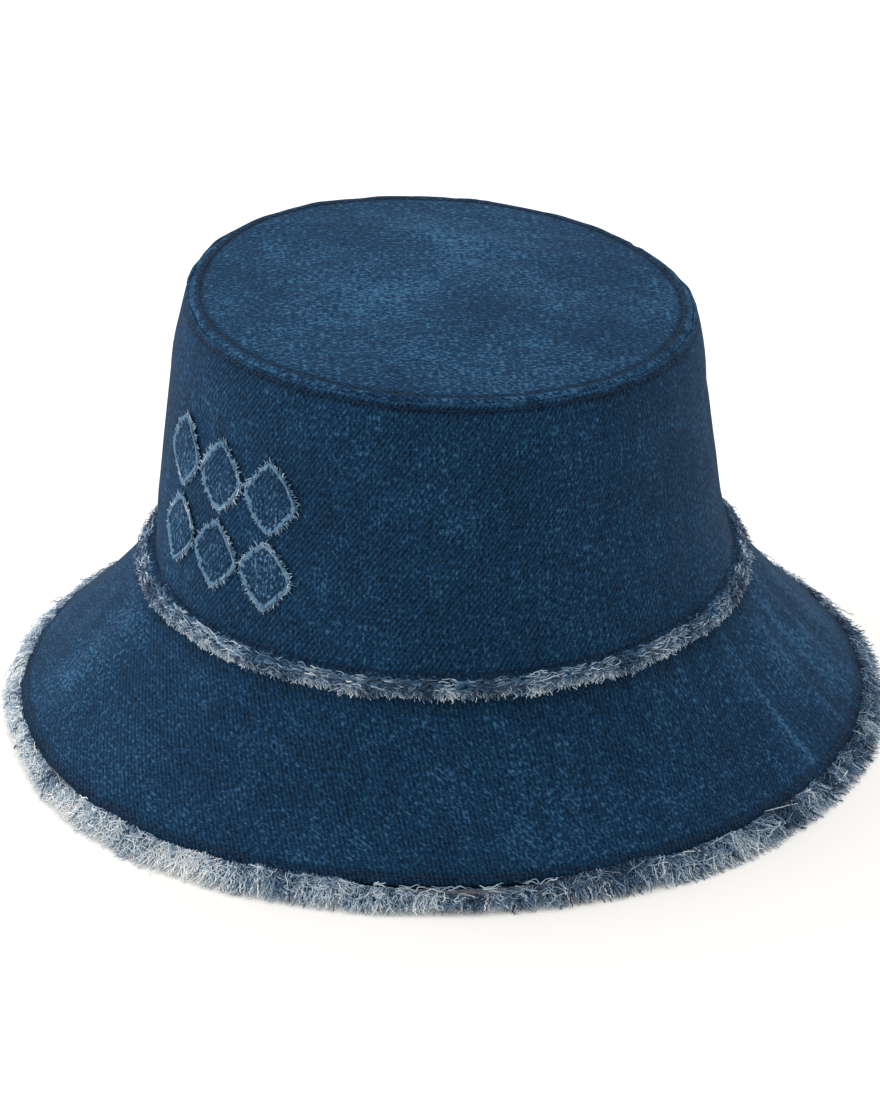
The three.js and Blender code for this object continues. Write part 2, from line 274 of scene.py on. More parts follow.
def make_piece(name, parts, materials):
    """A mesh object of these parts, with their values as attributes for its materials to read."""
    mesh = bpy.data.meshes.new(name)
    counts = [len(p["points"]) for p in parts]
    starts = np.concatenate([[0], np.cumsum(counts)])[:-1]
    faces = [p[kind] + start for p, start in zip(parts, starts) for kind in ("quads", "tris")]
    sizes = np.concatenate([np.full(len(f), f.shape[1]) for f in faces])
    loops = np.concatenate([f.ravel() for f in faces])
    repeats = [len(p["quads"]) + len(p["tris"]) for p in parts]
    mesh.vertices.add(sum(counts))
    mesh.vertices.foreach_set("co", np.concatenate([p["points"] for p in parts]).astype(np.float32).ravel())
    mesh.loops.add(len(loops))
    mesh.loops.foreach_set("vertex_index", loops.astype(np.int32))
    mesh.polygons.add(len(sizes))
    first = np.concatenate([[0], np.cumsum(sizes)])[:-1]
    slots = np.repeat([p["material"] for p in parts], repeats)
    mesh.polygons.foreach_set("loop_start", first.astype(np.int32))
    mesh.polygons.foreach_set("material_index", slots.astype(np.int32))
    mesh.polygons.foreach_set("use_smooth", np.repeat([p["smooth"] for p in parts], repeats))
    mesh.update(calc_edges=True)
    mesh.validate()
    for key, kind, field, size in (("cloth", "FLOAT_VECTOR", "vector", (3,)), ("wear", "FLOAT", "value", ()),
                                   ("tone", "FLOAT", "value", ())):
        filled = [np.broadcast_to(p["values"].get(key, 0.0), (n, *size)) for p, n in zip(parts, counts)]
        data = mesh.attributes.new(key, kind, "POINT").data
        data.foreach_set(field, np.concatenate(filled).astype(np.float32).ravel())
    for material in materials:
        mesh.materials.append(material)
    piece = bpy.data.objects.new(name, mesh)
    bpy.context.scene.collection.objects.link(piece)
    return piece


def finish_piece(piece, slot, *nodes):
    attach(piece, "root")
    if nodes:
        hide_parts(*nodes)
    return piece


def panel(name, node, slot, material, *parts):
    """A piece of one material, which stands for one node of the frame."""
    return finish_piece(make_piece(name, parts, [material]), slot, node)


def grid_faces(rows, columns, closed):
    """Quads over a grid of points, row by row; closed joins the last column to the first."""
    i = np.arange(rows - 1)[:, None]
    j = np.arange(columns if closed else columns - 1)[None, :]
    k = (j + 1) % columns
    low, high = i * columns, (i + 1) * columns
    corners = np.broadcast_arrays(low + j, low + k, high + k, high + j)
    return np.stack(corners, axis=-1).reshape(-1, 4)


def strip_faces(first, second):
    """Quads between two lines of point numbers."""
    return np.stack([first[:-1], second[:-1], second[1:], first[1:]], axis=-1)


def shell(outer, inner, cloth, wear, pole=False):
    """A sheet with thickness, from two grids of points. It is open at the back and its rim is closed.
    With pole, the sheet is a whole disc, whose last row is one point."""
    rows, columns = outer.shape[:2]
    total = rows * columns
    faces = grid_faces(rows, columns, pole)
    back = faces[:, ::-1] + total
    numbers = np.arange(total).reshape(rows, columns)
    edge = np.append(numbers[0], numbers[0, 0]) if pole else numbers[0]
    rims = [strip_faces(edge, edge + total)]
    if not pole:
        rims += [strip_faces(line + total, line) for line in (numbers[-1], numbers[:, 0])]
        rims.append(strip_faces(numbers[:, -1], numbers[:, -1] + total))
    points = np.concatenate([outer.reshape(-1, 3), inner.reshape(-1, 3)])
    flat = np.column_stack([np.concatenate([cloth.reshape(-1, 2)] * 2), np.repeat([0.0, 1.0], total)])
    wear = np.concatenate([wear.ravel()] * 2)
    return part(points, np.concatenate([faces, back, *rims]), cloth=flat, wear=wear)


def tubes(paths, radius, sides=4, tone=0.0):
    """Closed tubes of 4 or 6 sides along many lines: paths is lines x points x 3, radius lines x points."""
    lines, steps = paths.shape[:2]
    along = np.gradient(paths, axis=1)
    along = along / np.linalg.norm(along, axis=2, keepdims=True)
    mean = paths[:, -1] - paths[:, 0] + 1e-9
    level = np.abs(mean[:, 2:]) < 0.8 * np.linalg.norm(mean, axis=1, keepdims=True)
    across = np.cross(mean, np.where(level, [0, 0, 1.0], [1.0, 0, 0]))[:, None, :]
    first = np.cross(along, across)
    first = first / (np.linalg.norm(first, axis=2, keepdims=True) + 1e-12)
    second = np.cross(along, first)
    angle = np.arange(sides) / sides * TAU
    ring = first[:, :, None] * np.cos(angle)[:, None] + second[:, :, None] * np.sin(angle)[:, None]
    points = paths[:, :, None] + ring * np.broadcast_to(radius, (lines, steps))[:, :, None, None]
    per = steps * sides
    offsets = (np.arange(lines) * per)[:, None, None]
    end = per - sides
    caps = [[0, 3, 2, 1], [end, end + 1, end + 2, end + 3]]
    if sides == 6:
        caps = [caps[0], [0, 5, 4, 3], caps[1], [end, end + 3, end + 4, end + 5]]
    faces = (grid_faces(steps, sides, True), np.array(caps))
    quads = np.concatenate([(some[None] + offsets).reshape(-1, 4) for some in faces])
    tone = np.broadcast_to(np.reshape(tone, (-1, 1)) if np.ndim(tone) == 1 else tone, (lines, steps))
    shape = (lines, steps, sides)
    share = np.broadcast_to(np.arange(steps)[None, :, None] / steps, shape)
    own = np.broadcast_to(np.arange(lines)[:, None, None], shape)
    where = np.stack([own * 1.0, share, np.zeros(shape)], axis=-1).reshape(-1, 3)
    return part(points, quads, tone=np.repeat(tone[:, :, None], sides, axis=2).ravel(), cloth=where)


# ---- materials ----

class Nodes:
    """A material's node tree, built by short calls."""

    def __init__(self, name):
        self.material = bpy.data.materials.new(name)
        self.material.use_nodes = True
        self.tree = self.material.node_tree
        self.shader = self.tree.nodes["Principled BSDF"]

    def node(self, kind, inputs=(), **settings):
        made = self.tree.nodes.new("ShaderNode" + kind)
        for key, value in settings.items():
            setattr(made, key, value)
        for key, value in dict(inputs).items():
            self.feed(made.inputs[key], value)
        return made

    def feed(self, socket, value):
        if isinstance(value, bpy.types.NodeSocket):
            self.tree.links.new(value, socket)
        else:
            socket.default_value = value

    def read(self, name):
        """A named attribute of the mesh: its number and its vector."""
        found = self.node("Attribute", attribute_name=name)
        return found.outputs["Fac"], found.outputs["Vector"]

    def maths(self, operation, a, b=0.0, c=0.0, clamp=False):
        made = self.node("Math", {0: a, 1: b, 2: c}, operation=operation, use_clamp=clamp)
        return made.outputs[0]

    madd = partialmethod(maths, "MULTIPLY_ADD")
    times = partialmethod(maths, "MULTIPLY")
    over = partialmethod(maths, "DIVIDE")
    plus = partialmethod(maths, "ADD")
    minus = partialmethod(maths, "SUBTRACT")
    sine = partialmethod(maths, "SINE")

    def split(self, vector):
        return self.node("SeparateXYZ", {0: vector}).outputs

    def join(self, x, y):
        return self.node("CombineXYZ", {0: x, 1: y}).outputs[0]

    def scaled(self, vector, by):
        """The vector times a number, or times three numbers."""
        by = (by, by, by) if isinstance(by, (int, float)) else by
        return self.node("VectorMath", {0: vector, 1: by}, operation="MULTIPLY").outputs[0]

    def noise(self, vector, scale=1.0, detail=2.0, roughness=0.5, distortion=0.0):
        inputs = {"Vector": vector, "Scale": scale, "Detail": detail, "Roughness": roughness}
        return self.node("TexNoise", {**inputs, "Distortion": distortion}).outputs["Fac"]

    def spread(self, value, low, high, to_low=0.0, to_high=1.0):
        """Maps low..high to to_low..to_high, clamped."""
        inputs = {0: value, 1: low, 2: high, 3: to_low, 4: to_high}
        return self.node("MapRange", inputs, clamp=True).outputs[0]

    def mix(self, share, a, b):
        made = self.node("Mix", data_type="RGBA")
        self.feed(made.inputs["Factor"], share)
        self.feed(made.inputs[6], a)
        self.feed(made.inputs[7], b)
        return made.outputs[2]

    def ramp(self, value, stops):
        made = self.node("ValToRGB", {0: value})
        points = made.color_ramp.elements
        while len(points) < len(stops):
            points.new(1.0)
        for point, (place, colour) in zip(points, stops):
            point.position = place
            point.color = colour
        return made.outputs[0]

    def bumped(self, height, distance, strength=1.0):
        made = self.node("Bump", {"Height": height, "Distance": distance, "Strength": strength})
        return made.outputs[0]

    def finish(self, colour, roughness, normal=None, sheen=0.0, sheen_tint=(1, 1, 1, 1)):
        values = {"Base Color": colour, "Roughness": roughness, "Specular IOR Level": 0.12,
                  "Sheen Weight": sheen, "Sheen Roughness": 0.5, "Sheen Tint": sheen_tint}
        if normal is not None:
            values["Normal"] = normal
        for key, value in values.items():
            self.feed(self.shader.inputs[key], value)
        return self.material


def srgb(r, g, b):
    """A colour given in screen values of 0 to 255."""

    def linear(c):
        c = c / 255
        return c / 12.92 if c <= 0.04045 else ((c + 0.055) / 1.055) ** 2.4

    return (linear(r), linear(g), linear(b), 1.0)


WARP_PITCH, WEFT_PITCH = 0.42, 0.56  # millimetres
TWILL_STEP = 0.25  # 3/1 twill: the weft shows over one warp yarn in four
YARN_TWIST = 7.0


def denim(name, dark, middle, light, white):
    """3/1 twill: indigo warp over white weft, with uneven yarns, cloudy dye, and wear, painted shade and
    painted top light where the mesh says.
    """
    n = Nodes(name)
    _, where = n.read("cloth")
    wear, _ = n.read("wear")
    flat = n.scaled(where, 1000)
    u, v, _ = n.split(flat)
    warp = n.over(u, WARP_PITCH)
    weft = n.over(v, WEFT_PITCH)
    warp_number, weft_number = n.maths("FLOOR", warp), n.maths("FLOOR", weft)
    step = n.maths("FRACT", n.times(n.minus(warp_number, weft_number), TWILL_STEP))
    shows_weft = n.maths("LESS_THAN", step, 0.2)

    streak = n.noise(n.join(warp, n.times(v, 0.05)), 1.0, 3.0, 0.6)
    cross = n.noise(n.join(n.times(u, 0.08), weft), 1.0, 2.0, 0.6)
    mottle = n.noise(n.scaled(flat, (1.05, 0.62, 1)), 1.0, 3.0, 0.6)
    blotch = n.noise(n.scaled(flat, (0.20, 0.13, 1)), 1.0, 3.0, 0.6)
    cloud = n.noise(n.scaled(flat, 0.028), 1.0, 3.0, 0.55, 0.3)
    speck = n.noise(n.scaled(flat, (0.9, 2.0, 1)), 1.0, 2.0, 0.5)

    tone = n.madd(streak, 0.56, -0.09)
    tone = n.madd(cross, 0.22, tone)
    tone = n.madd(mottle, 1.30, n.minus(tone, 0.375))
    tone = n.madd(blotch, 0.34, n.minus(tone, 0.17))
    tone = n.madd(cloud, 0.30, tone)
    # This value from the mesh lightens worn places and paints top light on the tip, and darkens with painted
    # shade along seams and stitch rows.
    tone = n.madd(wear, n.madd(mottle, 0.6, 0.35), tone)
    body = n.ramp(tone, [(0.46, dark), (0.84, middle), (1.0, light)])
    fleck = n.times(shows_weft, n.spread(speck, 0.45, 0.75, 0.03, 0.32))
    fleck = n.plus(fleck, n.times(n.spread(speck, 0.68, 0.82), 0.25), clamp=True)
    colour = n.mix(fleck, body, white)

    rib = n.sine(n.times(warp, TAU))
    cord = n.sine(n.times(weft, TAU))
    lines = n.sine(n.times(n.minus(warp, weft), TAU / 4))
    height = n.madd(rib, 0.18, n.times(cord, 0.12))
    height = n.madd(lines, 0.10, height)
    height = n.madd(mottle, 1.2, height)
    height = n.madd(streak, 0.6, height)
    normal = n.bumped(height, 0.16 * MM, 0.8)
    roughness = n.spread(mottle, 0.3, 0.7, 0.95, 0.82)
    return n.finish(colour, roughness, normal, 0.05, srgb(110, 160, 210))


def yarn(name, stops):
    """Loose yarn: its own tone for each end, which holds painted shade towards the roots, mottled along its
    length, with a fine twist in its bump.
    """
    n = Nodes(name)
    tone, _ = n.read("tone")
    _, where = n.read("cloth")
    own, along, _ = n.split(where)
    fluff = n.noise(n.join(n.times(own, 3.7), n.times(along, YARN_TWIST)), 1.0, 2.0, 0.6)
    place = n.node("TexCoord").outputs["Object"]
    patchy = n.noise(n.scaled(place, 420), 1.0, 2.0, 0.5)
    shade = n.madd(fluff, 0.22, n.minus(tone, 0.11))
    shade = n.madd(patchy, 0.30, n.minus(shade, 0.15))
    colour = n.ramp(shade, stops)
    fine = n.noise(n.scaled(place, 5200), 1.0, 2.0, 0.6)
    normal = n.bumped(fine, 0.05 * MM, 0.6)
    return n.finish(colour, 0.95, normal, 0.25)


def thread(name, colour, bright):
    """Sewing thread: two plies twisted together."""
    n = Nodes(name)
    _, where = n.read("cloth")
    own, along, _ = n.split(where)
    ply = n.sine(n.madd(along, 26.0, own))
    place = n.node("TexCoord").outputs["Object"]
    grain = n.noise(n.scaled(place, 3000), 1.0, 2.0, 0.5)
    shade = n.madd(ply, 0.25, n.madd(grain, 0.6, 0.2), clamp=True)
    return n.finish(n.mix(shade, colour, bright), 0.6, n.bumped(ply, 0.06 * MM, 0.7), 0.1)


def plain_weave(name, dark, light, pitch, depth, herringbone=0.0):
    """Plain woven cotton, or herringbone twill tape where a width of its columns is given, in millimetres."""
    n = Nodes(name)
    _, where = n.read("cloth")
    flat = n.scaled(where, 1000)
    u, v, _ = n.split(flat)
    warp, weft = n.over(u, pitch), n.over(v, pitch)
    if herringbone:
        fold = n.maths("PINGPONG", u, herringbone)
        weave = n.sine(n.times(n.plus(n.over(fold, pitch), weft), TAU / 3))
    else:
        across, down = (n.sine(n.times(yarns, math.pi)) for yarns in (warp, weft))
        weave = n.times(across, down)
    uneven = n.noise(n.scaled(flat, (2.0, 0.3, 1)), 1.0, 3.0, 0.6)
    cloud = n.noise(n.scaled(flat, 0.05), 1.0, 2.0, 0.5)
    shade = n.madd(weave, 0.25, n.madd(uneven, 0.5, 0.05))
    shade = n.madd(cloud, 0.35, shade, clamp=True)
    height = n.madd(uneven, 0.8, weave)
    return n.finish(n.mix(shade, dark, light), 0.9, n.bumped(height, depth * MM, 0.8), 0.15)


denim_shell = denim("denim", srgb(1, 20, 38), srgb(11, 53, 85), srgb(54, 98, 132), srgb(100, 138, 168))
denim_patch = denim("patch denim", srgb(3, 23, 42), srgb(15, 57, 89), srgb(94, 130, 158), srgb(126, 155, 178))
loose_yarn = yarn("loose yarn", [
    (0.0, srgb(16, 40, 68)), (0.3, srgb(76, 114, 148)),
    (0.6, srgb(186, 206, 220)), (0.9, srgb(250, 252, 252)),
])
navy_thread = thread("navy thread", srgb(10, 20, 36), srgb(30, 50, 78))
lining_thread = thread("lining thread", srgb(96, 110, 128), srgb(150, 164, 182))
lining_cotton = plain_weave("lining cotton", srgb(30, 44, 66), srgb(52, 70, 98), 0.35, 0.05)
sweatband_twill = plain_weave("sweatband twill", srgb(22, 34, 54), srgb(56, 74, 104), 0.5, 0.12, 5.0)
interlining_cloth = plain_weave("interlining", srgb(176, 172, 160), srgb(216, 212, 200), 0.6, 0.08)
label_satin = plain_weave("label satin", srgb(196, 192, 180), srgb(234, 230, 220), 0.25, 0.03)


# ---- cloth panels ----

SEAM_HALF = 0.2 * MM  # half the opening at the centre back
BACK = math.pi


def columns_round(count, radius):
    """Angles round the hat from just past the centre back to just before it, with more of them there."""
    edge = SEAM_HALF / radius
    near = edge + np.array([0, 0.25, 0.55, 0.9, 1.4, 2.0]) * MM / radius
    middle = np.linspace(near[-1], TAU - near[-1], count)[1:-1]
    return BACK + np.concatenate([near, middle, (TAU - near)[::-1]])


def back_fold(phi, radius, deep=0.9 * MM):
    """How far the cloth turns in beside the centre-back seam."""
    away = np.abs(turn(phi - BACK)) * radius
    return -deep * np.exp(-((away / (1.1 * MM)) ** 2)) + 0.25 * MM * bump(away, 3 * MM, 1.6 * MM)


def back_wear(phi, radius):
    """The rubbed fold on each side of the centre-back seam."""
    return 0.4 * bump(np.abs(turn(phi - BACK)) * radius, 2.6 * MM, 0.9 * MM)


def ripples(s, phi, height, cells, length, seed, share=1.0):
    """Uneven cloth: height and length in millimetres, and that many cells round the hat."""
    return height * MM * share * around(phi, cells, s / (length * MM), seed)


def stitch_groove(s, place):
    return -0.34 * MM * bump(s, place, 0.8 * MM)


BAND_STITCH_S = BAND.height(SEAM_HEIGHT + 2.4 * MM)
TIP_STITCH_LOWER_S = BAND.length - 2.3 * MM
TIP_STITCH_UPPER_S = 3.0 * MM
BRIM_STITCH_S = BRIM.cloth - 2.5 * MM


def band_relief(s, phi):
    """The side band's own creases, puckers and seam ridges, out of its smooth outline."""
    top = BAND.length - s
    creases = ripples(s, phi, 0.20, 38, 13, 21) + ripples(s, phi, 0.12, 90, 30, 22)
    puckers = ripples(s, phi, 0.38, 70, 18, 23, np.exp(-top / (6 * MM)))
    puckers = puckers + ripples(s, phi, 0.34, 64, 18, 24, np.exp(-s / (7 * MM)))
    ridge = 0.5 * MM * bump(top, 0.9 * MM, 0.9 * MM) - 0.6 * MM * bump(top, 0, 0.4 * MM)
    seams = ridge + stitch_groove(s, BAND_STITCH_S) + stitch_groove(s, TIP_STITCH_LOWER_S)
    return creases + puckers + seams + back_fold(phi, BAND_MIDDLE)


def band_wear_and_shade(s, phi):
    top = BAND.length - s
    seam = 0.40 * bump(top, 0.8 * MM, 0.9 * MM) * (0.6 + 0.6 * around(phi, 210, s * 0, 31))
    base = 0.25 * bump(s, 1.5 * MM, 2.0 * MM)
    # Darker in the valley along the base seam's stitch row and along the tip's lower stitch row: painted
    # shade.
    dark = -0.30 * bump(s, BAND_STITCH_S, 1.2 * MM) - 0.5 * bump(s, TIP_STITCH_LOWER_S, 0.9 * MM)
    return seam + base + back_wear(phi, BAND_MIDDLE) + dark


def ring_cloth(outline, depth, thickness, count, rows, relief, wear, flat, low=0.0, high=None):
    """A strip of cloth round the hat, as a shell: its outer face is `depth` inside the outline."""
    high = outline.length if high is None else high
    middle_radius = float(np.interp((low + high) / 2, outline.s, outline.r))
    phi = columns_round(count, middle_radius)[None, :]
    s = rows_between(low, high, rows)[:, None]
    s, phi = np.broadcast_arrays(s, phi)
    raised = relief(s, phi)
    outer = placed(outline, s, phi, raised - depth)
    inner = placed(outline, s, phi, raised - depth - thickness)
    return shell(outer, inner, flat(outline, s, phi), wear(s, phi))


def rows_between(low, high, rows):
    """Distances along an outline, closer together near both ends."""
    t = np.linspace(-1, 1, rows)
    return low + (high - low) * (0.5 + 0.5 * (0.75 * t + 0.25 * t**3))


def along_strip(outline, s, phi):
    """Flat coordinates of a strip cut straight along the cloth's width."""
    return np.stack([turn(phi - BACK - math.pi) * BAND_MIDDLE, s], axis=-1)


BRIM_CONE = math.cos(math.atan2(SEAM_HEIGHT - BRIM_EDGE_HEIGHT, BRIM_RADIUS - SEAM_RADIUS))


def on_cone(outline, s, phi):
    """Flat coordinates of a piece cut as part of a ring, from a cone's flat pattern. u crosses the warp."""
    r, _ = outline.at(s)
    angle = turn(phi - BACK - math.pi) * BRIM_CONE
    turned = angle - GRAIN_AZIMUTH * BRIM_CONE
    return np.stack([r / BRIM_CONE * np.cos(turned), r / BRIM_CONE * np.sin(turned)], axis=-1)


def in_plan(outline, s, phi):
    """Flat coordinates of a round panel."""
    r, _ = outline.at(s)
    return np.stack([r * np.sin(phi + 0.6), -r * np.cos(phi + 0.6)], axis=-1)


def no_wear(s, phi):
    return np.zeros_like(s)


COLUMNS = 480

side_band = panel(
    "crown_side_band_cloth", "crown_side_band", "denim_shell", denim_shell,
    ring_cloth(BAND, 0, DENIM, COLUMNS, 92, band_relief, band_wear_and_shade, along_strip),
)


# The tip's folds are few and soft, and each is a ridge or hollow across the panel.
TIP_FOLDS = [
    # angle of the fold's line, its distance from the middle, width and height, in degrees and millimetres
    (20, 18, 14, 1.0),
    (75, -30, 11, -0.8),
    (130, 34, 12, 0.9),
    (165, -12, 16, -0.7),
    (100, 8, 9, 0.5),
]


def on_disc(s, phi):
    """Where a point of the tip lies in plan."""
    r, _ = TIP.at(s)
    return r * np.sin(phi), -r * np.cos(phi)


def blotches(x, y, size, seed):
    """Noise over the tip in plan, with cells of that many millimetres."""
    return noise(x / (size * MM) + 40, y / (size * MM) + 40, 97, seed)


def tip_relief(s, phi):
    x, y = on_disc(s, phi)
    inside = smoothstep(s, 0, 22 * MM)
    folds = np.zeros_like(x)
    for angle, away, width, height in TIP_FOLDS:
        a = math.radians(angle)
        distance = x * math.cos(a) + y * math.sin(a) - away * MM
        along = -x * math.sin(a) + y * math.cos(a)
        folds = folds + height * MM * bump(distance, 0, width * MM) * bump(along, 0, 55 * MM)
    puckers = ripples(s, phi, 0.36, 66, 18, 25, np.exp(-s / (7 * MM)))
    creases = 0.22 * MM * blotches(x, y, 9, 26) * smoothstep(s, 0, 10 * MM)
    ridge = 0.7 * MM * bump(s, 1.1 * MM, 1.0 * MM) - 0.6 * MM * bump(s, 0, 0.4 * MM)
    return folds * inside + puckers + creases + ridge + stitch_groove(s, TIP_STITCH_UPPER_S)


def tip_wear_and_painted_light(s, phi):
    x, y = on_disc(s, phi)
    # Lighter all over the tip: painted top light, in soft blotches.
    cloudy = 0.10 + 0.09 * blotches(x, y, 24, 32)
    seam = 0.45 * bump(s, 0.8 * MM, 1.0 * MM) * (0.6 + 0.6 * around(phi, 210, s * 0, 33))
    # Darker along the upper stitch row: painted shade in its groove.
    return np.maximum(cloudy, 0) + seam - 0.6 * bump(s, TIP_STITCH_UPPER_S, 1.0 * MM)


def disc_cloth(depth, thickness, count, rows, edge, relief, wear):
    """A round panel as a shell, from its edge in to the middle."""
    s = np.append(rows_between(edge, TIP.length - 0.4 * MM, rows), TIP.length)[:, None]
    phi = (np.arange(count) / count * TAU)[None, :]
    s, phi = np.broadcast_arrays(s, phi)
    raised = relief(s, phi)
    outer = placed(TIP, s, phi, raised - depth)
    inner = placed(TIP, s, phi, raised - depth - thickness)
    made = shell(outer, inner, in_plan(TIP, s, phi), wear(s, phi), pole=True)
    return merged_pole(made, rows, count)


def merged_pole(made, rows, columns):
    """Joins the last row of each face of a disc into one point, and drops the empty faces."""
    total = (rows + 1) * columns
    number = np.arange(2 * total)
    for start in (0, total):
        number[start + rows * columns : start + total] = start + rows * columns
    quads = number[made["quads"]]
    flat = (quads[:, 2] == quads[:, 3]) | (quads[:, 0] == quads[:, 1])
    empty = quads[flat]
    tris = np.where((empty[:, 2] == empty[:, 3])[:, None], empty[:, [0, 1, 2]], empty[:, [0, 2, 3]])
    made["quads"], made["tris"] = quads[~flat], tris
    used = np.unique(np.concatenate([made["quads"].ravel(), made["tris"].ravel()]))
    fresh = np.zeros(2 * total, int)
    fresh[used] = np.arange(len(used))
    made["quads"], made["tris"] = fresh[made["quads"]], fresh[made["tris"]]
    made["points"] = made["points"][used]
    made["values"] = {key: value[used] for key, value in made["values"].items()}
    return made


tip_panel = panel(
    "crown_tip_cloth", "crown_tip", "denim_shell", denim_shell,
    disc_cloth(0, DENIM, COLUMNS, 68, 0.0, tip_relief, tip_wear_and_painted_light),
)


# Soft folds that run down the brim: angle round the hat, width round it, both in degrees, and height.
BRIM_FOLDS = [(-24, 7, 0.9), (-40, 5, -0.6), (112, 3, 0.5), (122, 3, 0.6), (133, 3.5, 0.6), (150, 5, 0.7)]
BRIM_FOLDS += [(28, 9, -0.5), (66, 10, 0.4), (196, 6, 0.6), (236, 8, -0.5), (284, 6, 0.6)]


def brim_relief(s, phi):
    down = np.sin(np.pi * np.clip(s / BRIM.cloth, 0, 1)) ** 0.7
    folds = np.zeros_like(s)
    for angle, width, height in BRIM_FOLDS:
        away = turn(phi - math.radians(angle + 4 * math.sin(angle)))
        folds = folds + height * MM * bump(away, 0, math.radians(width)) * down
    creases = ripples(s, phi, 0.16, 60, 14, 27)
    puckers = ripples(s, phi, 0.40, 74, 20, 28, np.exp(-s / (6 * MM)))
    puckers = puckers + ripples(s, phi, 0.36, 110, 20, 29, np.exp(-(BRIM.cloth - s) / (5 * MM)))
    return folds + creases + puckers + stitch_groove(s, BRIM_STITCH_S) + back_fold(phi, BRIM_MIDDLE)


def brim_wear_and_shade(s, phi):
    fold = sum(h * 0.22 * at_azimuth(phi, math.radians(a), w) for a, w, h in BRIM_FOLDS)
    right = at_azimuth(phi, STREAKS_AZIMUTH, 20)
    streaks = (0.05 + 0.34 * right) * np.maximum(around(phi, 230, s / (60 * MM), 34), 0)
    # Darker from the stay stitch out to the cloth's edge: painted shade. Darker in a band just below the seam
    # allowance: painted shadow of the allowance.
    dark = -0.22 * smoothstep(s, BRIM_STITCH_S - 2 * MM, BRIM_STITCH_S) - 0.15 * bump(s, 6 * MM, 3 * MM)
    crests = np.maximum(fold, 0) * np.sin(np.pi * np.clip(s / BRIM.cloth, 0, 1))
    return crests + back_wear(phi, BRIM_MIDDLE) + dark + streaks


BRIM_ROWS = 60
BRIM_COLUMNS = 600
STIFFENED = (1 * MM, BRIM.cloth - 4 * MM)  # the part of the brim that the interlining covers


def brim_ply(node, depth):
    made = ring_cloth(BRIM, depth, DENIM, BRIM_COLUMNS, BRIM_ROWS, brim_relief, brim_wear_and_shade, on_cone,
                      0.0, BRIM.cloth)
    return panel(f"{node}_cloth", node, "denim_shell", denim_shell, made)


brim_top = brim_ply("brim_top_ply", 0)
brim_under = brim_ply("brim_under_ply", UNDER_DEPTH)
stiffening = panel(
    "brim_interlining_cloth", "brim_interlining", "woven_interlining", interlining_cloth,
    ring_cloth(BRIM, DENIM + GAP, INTERLINING, BRIM_COLUMNS // 2, BRIM_ROWS // 2, brim_relief, no_wear,
               on_cone, *STIFFENED),
)


# ---- stitching ----

def stitches(paths_of, length, radius=0.26 * MM):
    """Separate lockstitches along a row of that length. paths_of turns distances and heights into points."""
    pitch = STITCH + STITCH_GAP
    count = int(length / pitch)
    pitch = length / count
    steps = 7
    t = np.linspace(0, 1, steps)[None, :]
    start = (np.arange(count) * pitch)[:, None]
    along = start + t * (pitch - STITCH_GAP * 0.6)
    arch = np.sin(math.pi * t) ** 0.6
    out = STITCH_HIGH * arch - STITCH_SUNK * (1 - arch)
    paths = paths_of(along, np.broadcast_to(out, along.shape))
    thick = radius * (0.72 + 0.28 * np.sin(math.pi * t))
    return tubes(paths, np.broadcast_to(thick, along.shape), 6)


def stitch_ring(outline, s, relief, out=0.0):
    """A row of stitches right round the hat, at a distance along an outline."""
    r, _ = outline.at(s)
    length = float(TAU * r)

    def place(along, high):
        phi = along / r
        wobble = 0.12 * MM * around(phi, 120, along * 0, 41)
        ss = s + wobble
        return placed(outline, ss, phi, relief(ss, phi) + out + high)

    return stitches(place, length)


def stitch_line(outline, start, end, beside, relief):
    """A row of stitches down an outline, that far beside the centre back."""

    def place(along, high):
        s = start + along
        r, _ = outline.at(s)
        phi = BACK + beside / r
        return placed(outline, s, phi, relief(s, phi) + high)

    return stitches(place, end - start)


def stitched(node, row, slot="navy_thread", material=navy_thread):
    panel(f"{node}_row", node, slot, material, row)


BACK_ROW = 2.6 * MM  # from the centre-back seam to the row on each side of it

stitched("tip_topstitch_upper", stitch_ring(TIP, TIP_STITCH_UPPER_S, tip_relief, ROW_LIFT))
stitched("tip_topstitch_lower", stitch_ring(BAND, TIP_STITCH_LOWER_S, band_relief, ROW_LIFT))
stitched("crown_brim_seam_stitch", stitch_ring(BAND, BAND_STITCH_S, band_relief, ROW_LIFT))
stitched("brim_edge_stay_stitch", stitch_ring(BRIM, BRIM_STITCH_S, brim_relief, ROW_LIFT))
for side, beside in (("left", -BACK_ROW), ("right", BACK_ROW)):
    row = stitch_line(BAND, 5 * MM, BAND.length - 4 * MM, beside, band_relief)
    stitched(f"crown_back_topstitch_{side}", row)
    row = stitch_line(BRIM, 7 * MM, BRIM.cloth - 3.5 * MM, beside, brim_relief)
    stitched(f"brim_back_topstitch_{side}", row)


# ---- frayed edges ----

YARN_CRIMP = 0.24 * MM  # the waves that the weave has left in a yarn
TIP_TAPER = 0.5  # the share of its thickness that a yarn end loses
RUNNING_YARN = 0.22 * MM


def whiteness(phi):
    """How much of the loose yarn is white weft: most where the weft runs straight down the brim."""
    return np.cos(turn(phi - GRAIN_AZIMUTH) * BRIM_CONE) ** 2


